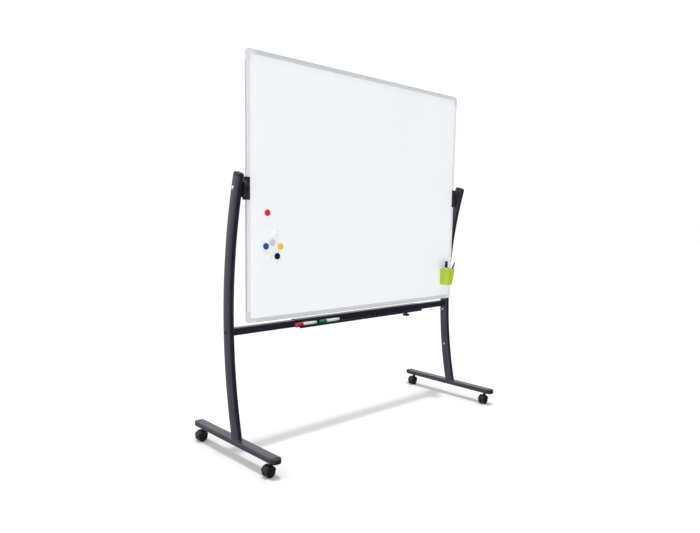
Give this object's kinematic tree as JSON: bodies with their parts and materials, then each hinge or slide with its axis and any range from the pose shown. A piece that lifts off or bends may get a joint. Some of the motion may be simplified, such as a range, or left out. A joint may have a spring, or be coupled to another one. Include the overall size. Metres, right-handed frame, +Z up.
{
  "type": "rolling whiteboard",
  "caption": "Double-sided revolving whiteboard on a mobile stand with bowed uprights, swivel casters, a crossbar and a sliding marker tray.",
  "frame": {"origin": "on the floor, midway between the two feet and half way along them", "axes": "+X along the board to the viewer's right, +Y to the rear, +Z up; the writing side with the pen cup faces -Y"},
  "size_m": [1.6474, 0.6732, 1.821],
  "materials": {
    "powder_coat": "fine-textured anthracite powder coat, satin",
    "black_plastic": "moulded black nylon, fine matt grain",
    "wheel_plastic": "black caster wheel, soft tread, light scuffs",
    "steel": "zinc-plated steel, bright",
    "aluminium": "satin anodised aluminium with fine lengthwise drawing lines",
    "grey_plastic": "light grey moulded corner, fine grain",
    "enamel": "white glossy dry-wipe enamel on sheet steel",
    "core_board": "pressed fibreboard core",
    "green_plastic": "lime green moulded plastic, satin gloss",
    "marker_red": "red moulded plastic, gloss",
    "marker_green": "green moulded plastic, gloss",
    "marker_black": "black moulded plastic, gloss",
    "marker_white": "white moulded plastic, gloss",
    "pen_blue": "dark blue moulded plastic, gloss",
    "magnet_blue": "blue moulded magnet cap",
    "magnet_yellow": "yellow moulded magnet cap",
    "magnet_grey": "light grey moulded magnet cap"
  },
  "bodies": {
    "stand": {"left_upright": "powder_coat", "left_upright_cap": "black_plastic", "left_foot": "powder_coat", "left_foot_front_cap": "black_plastic", "left_foot_rear_cap": "black_plastic", "left_crossbar_bolt": "black_plastic", "left_foot_bolt": "steel", "left_pivot_disc": "black_plastic", "right_upright": "powder_coat", "right_upright_cap": "black_plastic", "right_foot": "powder_coat", "right_foot_front_cap": "black_plastic", "right_foot_rear_cap": "black_plastic", "right_crossbar_bolt": "black_plastic", "right_foot_bolt": "steel", "right_pivot_disc": "black_plastic", "crossbar": "powder_coat", "left_front_caster_stem": "steel", "left_rear_caster_stem": "steel", "right_front_caster_stem": "steel", "right_rear_caster_stem": "steel"},
    "board": {"left_pivot_bolt": "steel", "left_clip": "black_plastic", "right_pivot_bolt": "steel", "right_clip": "black_plastic", "board_core": "core_board", "front_sheet": "enamel", "back_sheet": "enamel", "frame_left": "aluminium", "frame_right": "aluminium", "frame_top": "aluminium", "frame_bottom": "aluminium", "corner_top_left": "grey_plastic", "corner_top_right": "grey_plastic", "corner_bottom_left": "grey_plastic", "corner_bottom_right": "grey_plastic", "pen_cup": "green_plastic", "black_marker": "marker_black", "blue_pen": "pen_blue"},
    "tray": {"marker_tray": "powder_coat", "tray_clamp_block": "powder_coat", "red_marker": "marker_red", "green_marker": "marker_green"},
    "knob": {"tray_knob": "black_plastic"},
    "left_front_caster": {"left_front_caster_housing": "black_plastic", "left_front_caster_axle": "steel"},
    "left_front_caster_wheel_a": {"left_front_caster_wheel_a": "wheel_plastic"},
    "left_front_caster_wheel_b": {"left_front_caster_wheel_b": "wheel_plastic"},
    "left_rear_caster": {"left_rear_caster_housing": "black_plastic", "left_rear_caster_axle": "steel"},
    "left_rear_caster_wheel_a": {"left_rear_caster_wheel_a": "wheel_plastic"},
    "left_rear_caster_wheel_b": {"left_rear_caster_wheel_b": "wheel_plastic"},
    "right_front_caster": {"right_front_caster_housing": "black_plastic", "right_front_caster_axle": "steel"},
    "right_front_caster_wheel_a": {"right_front_caster_wheel_a": "wheel_plastic"},
    "right_front_caster_wheel_b": {"right_front_caster_wheel_b": "wheel_plastic"},
    "right_rear_caster": {"right_rear_caster_housing": "black_plastic", "right_rear_caster_axle": "steel"},
    "right_rear_caster_wheel_a": {"right_rear_caster_wheel_a": "wheel_plastic"},
    "right_rear_caster_wheel_b": {"right_rear_caster_wheel_b": "wheel_plastic"}
  },
  "joints": [
    {"name": "board_flip", "type": "hinge", "parent": "stand", "child": "board", "pos_m": [0, -0.0255, 1.224], "axis": [1, 0, 0], "continuous": true},
    {"name": "tray_slide", "type": "slide", "parent": "stand", "child": "tray", "axis": [1, 0, 0], "range_m": [-0.341, 0.26]},
    {"name": "knob_turn", "type": "hinge", "parent": "tray", "child": "knob", "pos_m": [0.426, 0.0447, 0.536], "axis": [0, 0, 1], "range_deg": [0, 360]},
    {"name": "left_front_caster_swivel", "type": "hinge", "parent": "stand", "child": "left_front_caster", "pos_m": [-0.791, -0.279, 0.06], "axis": [0, 0, 1], "continuous": true},
    {"name": "left_front_caster_spin_a", "type": "hinge", "parent": "left_front_caster", "child": "left_front_caster_wheel_a", "pos_m": [-0.803, -0.279, 0.025], "axis": [0, 1, 0], "continuous": true},
    {"name": "left_front_caster_spin_b", "type": "hinge", "parent": "left_front_caster", "child": "left_front_caster_wheel_b", "pos_m": [-0.803, -0.279, 0.025], "axis": [0, 1, 0], "continuous": true},
    {"name": "left_rear_caster_swivel", "type": "hinge", "parent": "stand", "child": "left_rear_caster", "pos_m": [-0.791, 0.279, 0.06], "axis": [0, 0, 1], "continuous": true},
    {"name": "left_rear_caster_spin_a", "type": "hinge", "parent": "left_rear_caster", "child": "left_rear_caster_wheel_a", "pos_m": [-0.803, 0.279, 0.025], "axis": [0, 1, 0], "continuous": true},
    {"name": "left_rear_caster_spin_b", "type": "hinge", "parent": "left_rear_caster", "child": "left_rear_caster_wheel_b", "pos_m": [-0.803, 0.279, 0.025], "axis": [0, 1, 0], "continuous": true},
    {"name": "right_front_caster_swivel", "type": "hinge", "parent": "stand", "child": "right_front_caster", "pos_m": [0.791, -0.279, 0.06], "axis": [0, 0, 1], "continuous": true},
    {"name": "right_front_caster_spin_a", "type": "hinge", "parent": "right_front_caster", "child": "right_front_caster_wheel_a", "pos_m": [0.779, -0.279, 0.025], "axis": [0, 1, 0], "continuous": true},
    {"name": "right_front_caster_spin_b", "type": "hinge", "parent": "right_front_caster", "child": "right_front_caster_wheel_b", "pos_m": [0.779, -0.279, 0.025], "axis": [0, 1, 0], "continuous": true},
    {"name": "right_rear_caster_swivel", "type": "hinge", "parent": "stand", "child": "right_rear_caster", "pos_m": [0.791, 0.279, 0.06], "axis": [0, 0, 1], "continuous": true},
    {"name": "right_rear_caster_spin_a", "type": "hinge", "parent": "right_rear_caster", "child": "right_rear_caster_wheel_a", "pos_m": [0.779, 0.279, 0.025], "axis": [0, 1, 0], "continuous": true},
    {"name": "right_rear_caster_spin_b", "type": "hinge", "parent": "right_rear_caster", "child": "right_rear_caster_wheel_b", "pos_m": [0.779, 0.279, 0.025], "axis": [0, 1, 0], "continuous": true}
  ]
}
